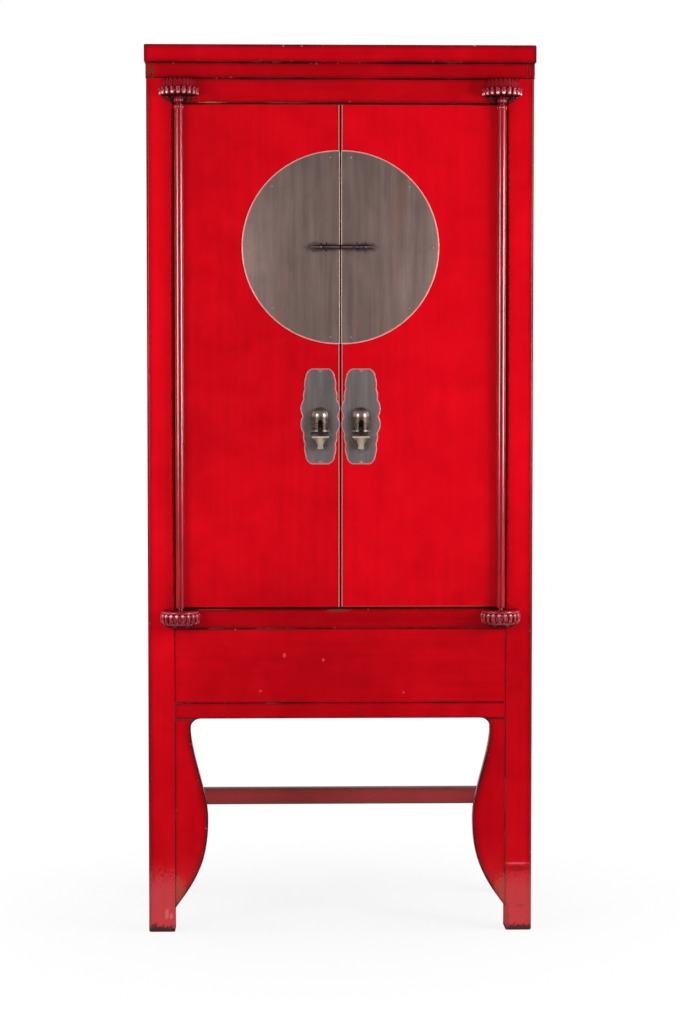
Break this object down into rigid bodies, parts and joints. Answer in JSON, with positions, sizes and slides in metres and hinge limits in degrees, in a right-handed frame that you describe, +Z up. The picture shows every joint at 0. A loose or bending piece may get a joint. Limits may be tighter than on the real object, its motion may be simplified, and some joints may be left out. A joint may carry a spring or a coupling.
{
  "type": "chinese wedding cabinet",
  "caption": "Tall red lacquered wedding cabinet on four legs, with pole-hung doors in carved lotus sockets, shelves inside and a round brass lock plate.",
  "frame": {"origin": "on the floor, in the middle of the width and of the whole depth, lotus sockets included", "axes": "+Z up, the front with its doors faces -Y, +X to the viewer's right"},
  "size_m": [0.812, 0.5006, 1.85],
  "materials": {
    "red_lacquer": "glossy red lacquer on hardwood, rubbed through at the edges",
    "dark_lacquer": "dark red-brown lacquer on carved wood",
    "plain_wood": "bare brown wood",
    "old_brass": "dull brown-grey patina, bright on worn edges",
    "brass_nails": "dull, rubbed"
  },
  "bodies": {
    "cabinet": {"back_boards": "plain_wood", "bearers": "plain_wood", "door_sill": "red_lacquer", "door_stops": "plain_wood", "floor_board": "plain_wood", "front_apron": "red_lacquer", "front_cornice": "red_lacquer", "front_left_post": "red_lacquer", "front_right_post": "red_lacquer", "front_top_rail": "red_lacquer", "left_bracket": "red_lacquer", "left_lower_rail": "red_lacquer", "left_side_panel": "red_lacquer", "left_stretcher": "red_lacquer", "left_top_rail": "red_lacquer", "lower_left_socket": "dark_lacquer", "lower_right_socket": "dark_lacquer", "lower_shelf": "plain_wood", "rear_cornice": "red_lacquer", "rear_left_post": "red_lacquer", "rear_lower_rail": "red_lacquer", "rear_right_post": "red_lacquer", "rear_stretcher": "red_lacquer", "rear_top_rail": "red_lacquer", "right_bracket": "red_lacquer", "right_lower_rail": "red_lacquer", "right_side_panel": "red_lacquer", "right_stretcher": "red_lacquer", "right_top_rail": "red_lacquer", "side_cornices": "red_lacquer", "skirt_panel": "red_lacquer", "top_front_member": "red_lacquer", "top_left_member": "red_lacquer", "top_panel": "red_lacquer", "top_rear_member": "red_lacquer", "top_right_member": "red_lacquer", "upper_left_socket": "dark_lacquer", "upper_right_socket": "dark_lacquer", "upper_shelf": "plain_wood"},
    "left_door": {"latch_keeper": "old_brass", "left_brass_nails": "brass_nails", "left_door_battens": "plain_wood", "left_door_panel": "red_lacquer", "left_door_pole": "red_lacquer", "left_half_disc": "old_brass", "left_lobed_plate": "old_brass", "left_pull_housing": "old_brass", "left_pull_pin": "old_brass"},
    "right_door": {"latch_guide": "old_brass", "right_brass_nails": "brass_nails", "right_door_battens": "plain_wood", "right_door_panel": "red_lacquer", "right_door_pole": "red_lacquer", "right_half_disc": "old_brass", "right_lobed_plate": "old_brass", "right_pull_housing": "old_brass", "right_pull_pin": "old_brass"},
    "latch_bolt": {"latch_bolt": "old_brass"},
    "left_pendant": {"left_pull": "old_brass"},
    "right_pendant": {"right_pull": "old_brass"}
  },
  "joints": [
    {"name": "left_door_swing", "type": "hinge", "parent": "cabinet", "child": "left_door", "pos_m": [-0.3343, -0.20775, 1.2], "axis": [0, 0, -1], "range_deg": [0, 175]},
    {"name": "right_door_swing", "type": "hinge", "parent": "cabinet", "child": "right_door", "pos_m": [0.3343, -0.20775, 1.2], "axis": [0, 0, 1], "range_deg": [0, 175]},
    {"name": "latch_slide", "type": "slide", "parent": "right_door", "child": "latch_bolt", "axis": [-1, 0, 0], "range_m": [0, 0.008]},
    {"name": "left_pull_swing", "type": "hinge", "parent": "left_door", "child": "left_pendant", "pos_m": [-0.0424, -0.21235, 1.0575], "axis": [-1, 0, 0], "range_deg": [0, 85]},
    {"name": "right_pull_swing", "type": "hinge", "parent": "right_door", "child": "right_pendant", "pos_m": [0.0424, -0.21235, 1.0575], "axis": [-1, 0, 0], "range_deg": [0, 85]}
  ]
}
